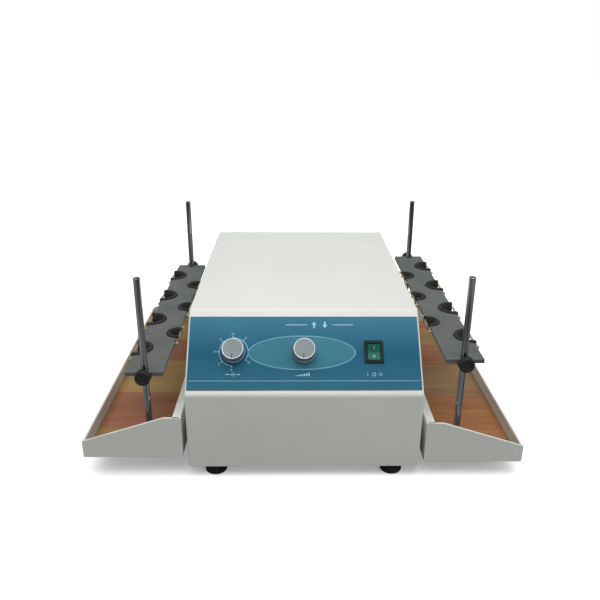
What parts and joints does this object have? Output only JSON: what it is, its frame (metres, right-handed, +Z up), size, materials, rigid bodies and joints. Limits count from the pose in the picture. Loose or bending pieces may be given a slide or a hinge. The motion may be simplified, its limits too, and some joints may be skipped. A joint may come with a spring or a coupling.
{
  "type": "vertical flask shaker",
  "caption": "Bench-top vertical shaker with a sloped control panel and crank-driven side trays, each with upright rods and a notched clamp bar for flask necks.",
  "frame": {"origin": "on the bench top, under the middle of the shaker", "axes": "+Z up, -Y towards the operator (the control panel faces -Y), +X to the operator's right"},
  "size_m": [0.568, 0.46, 0.2689],
  "materials": {
    "powder_coat": "off-white textured powder coat",
    "panel_print": "blue printed polyester overlay",
    "black_rubber": "matt black rubber and foam",
    "black_plastic": "satin black moulded plastic",
    "knob_silver": "satin silver",
    "switch_green": "glossy translucent green",
    "rod_steel": "bright ground steel",
    "grey_pvc": "satin grey PVC",
    "wood_mat": "wood-grain printed vinyl, satin",
    "drive_steel": "machined steel",
    "drive_aluminium": "machined and cast aluminium",
    "circuit_board": "green circuit board"
  },
  "bodies": {
    "cabinet": {"hood": "powder_coat", "base_plate": "powder_coat", "back_panel": "powder_coat", "panel_label": "panel_print", "timer_movement": "black_plastic", "speed_potentiometer": "black_plastic", "switch_bezel": "black_plastic", "power_inlet": "black_plastic", "fuse_holder": "black_plastic", "control_board": "circuit_board", "motor": "drive_aluminium", "motor_bracket": "drive_steel", "drive_belt": "black_rubber", "foot_front_left": "black_rubber", "foot_rear_left": "black_rubber", "foot_front_right": "black_rubber", "foot_rear_right": "black_rubber", "shaft_bearing_left": "drive_steel", "guide_head_left": "drive_aluminium", "shaft_bearing_right": "drive_steel", "guide_head_right": "drive_aluminium", "guide_post_front_left": "drive_steel", "guide_post_rear_left": "drive_steel", "guide_post_front_right": "drive_steel", "guide_post_rear_right": "drive_steel"},
    "drive_shaft": {"main_shaft": "drive_steel", "shaft_pulley": "drive_aluminium", "crank_disc_left": "drive_steel", "crank_disc_right": "drive_steel"},
    "motor_rotor": {"motor_pulley": "drive_steel"},
    "connecting_rod_left": {"connecting_rod_left": "drive_steel"},
    "tray_left": {"tray_left": "powder_coat", "tray_mat_left": "wood_mat", "carriage_left": "drive_aluminium", "support_rod_front_left": "rod_steel", "support_rod_rear_left": "rod_steel", "tray_arm_front_left": "drive_steel", "tray_arm_rear_left": "drive_steel"},
    "clamp_bar_left": {"clamp_bar_left": "grey_pvc"},
    "clamp_knob_front_left": {"clamp_knob_front_left": "black_plastic"},
    "clamp_knob_rear_left": {"clamp_knob_rear_left": "black_plastic"},
    "connecting_rod_right": {"connecting_rod_right": "drive_steel"},
    "tray_right": {"tray_right": "powder_coat", "tray_mat_right": "wood_mat", "carriage_right": "drive_aluminium", "support_rod_front_right": "rod_steel", "support_rod_rear_right": "rod_steel", "tray_arm_front_right": "drive_steel", "tray_arm_rear_right": "drive_steel"},
    "clamp_bar_right": {"clamp_bar_right": "grey_pvc"},
    "clamp_knob_front_right": {"clamp_knob_front_right": "black_plastic"},
    "clamp_knob_rear_right": {"clamp_knob_rear_right": "black_plastic"},
    "timer_knob": {"timer_knob": "knob_silver"},
    "speed_knob": {"speed_knob": "knob_silver"},
    "switch_rocker": {"switch_rocker": "switch_green"}
  },
  "joints": [
    {"name": "left_tray_slide", "type": "slide", "parent": "cabinet", "child": "tray_left", "axis": [0, 0, 1], "range_m": [-0.0193, 0.0107]},
    {"name": "right_tray_slide", "type": "slide", "parent": "cabinet", "child": "tray_right", "axis": [0, 0, 1], "range_m": [-0.0107, 0.0193]},
    {"name": "shaft_spin", "type": "hinge", "parent": "cabinet", "child": "drive_shaft", "pos_m": [0, 0, 0.054], "axis": [1, 0, 0], "continuous": true},
    {"name": "motor_spin", "type": "hinge", "parent": "cabinet", "child": "motor_rotor", "pos_m": [0, -0.12, 0.06], "axis": [1, 0, 0], "continuous": true},
    {"name": "left_rod_swing", "type": "hinge", "parent": "tray_left", "child": "connecting_rod_left", "pos_m": [-0.11, 0, 0.11655], "axis": [1, 0, 0], "range_deg": [-0.62, 28.33]},
    {"name": "right_rod_swing", "type": "hinge", "parent": "tray_right", "child": "connecting_rod_right", "pos_m": [0.11, 0, 0.10795], "axis": [1, 0, 0], "range_deg": [-28.33, 0.62]},
    {"name": "left_bar_slide", "type": "slide", "parent": "tray_left", "child": "clamp_bar_left", "axis": [0, 0, 1], "range_m": [-0.08, 0.108]},
    {"name": "front_left_clamp_turn", "type": "hinge", "parent": "clamp_bar_left", "child": "clamp_knob_front_left", "pos_m": [-0.201, -0.2155, 0.141], "axis": [0, -1, 0], "range_deg": [0, 360]},
    {"name": "rear_left_clamp_turn", "type": "hinge", "parent": "clamp_bar_left", "child": "clamp_knob_rear_left", "pos_m": [-0.201, 0.2155, 0.141], "axis": [0, 1, 0], "range_deg": [0, 360]},
    {"name": "right_bar_slide", "type": "slide", "parent": "tray_right", "child": "clamp_bar_right", "axis": [0, 0, 1], "range_m": [-0.095, 0.098]},
    {"name": "front_right_clamp_turn", "type": "hinge", "parent": "clamp_bar_right", "child": "clamp_knob_front_right", "pos_m": [0.201, -0.2155, 0.1585], "axis": [0, -1, 0], "range_deg": [0, 360]},
    {"name": "rear_right_clamp_turn", "type": "hinge", "parent": "clamp_bar_right", "child": "clamp_knob_rear_right", "pos_m": [0.201, 0.2155, 0.1585], "axis": [0, 1, 0], "range_deg": [0, 360]},
    {"name": "timer_turn", "type": "hinge", "parent": "cabinet", "child": "timer_knob", "pos_m": [-0.09, -0.19154, 0.16189], "axis": [0, 0.7326, -0.6806], "range_deg": [0, 300]},
    {"name": "speed_turn", "type": "hinge", "parent": "cabinet", "child": "speed_knob", "pos_m": [0, -0.19154, 0.16189], "axis": [0, 0.7326, -0.6806], "range_deg": [0, 270]},
    {"name": "switch_tilt", "type": "hinge", "parent": "cabinet", "child": "switch_rocker", "pos_m": [0.089, -0.19154, 0.16189], "axis": [1, 0, 0], "range_deg": [-24, 0]}
  ],
  "couplings": [
    {"joint": "right_tray_slide", "follows": "left_tray_slide", "ratio": -1},
    {"joint": "motor_spin", "follows": "shaft_spin", "ratio": 2.5}
  ]
}
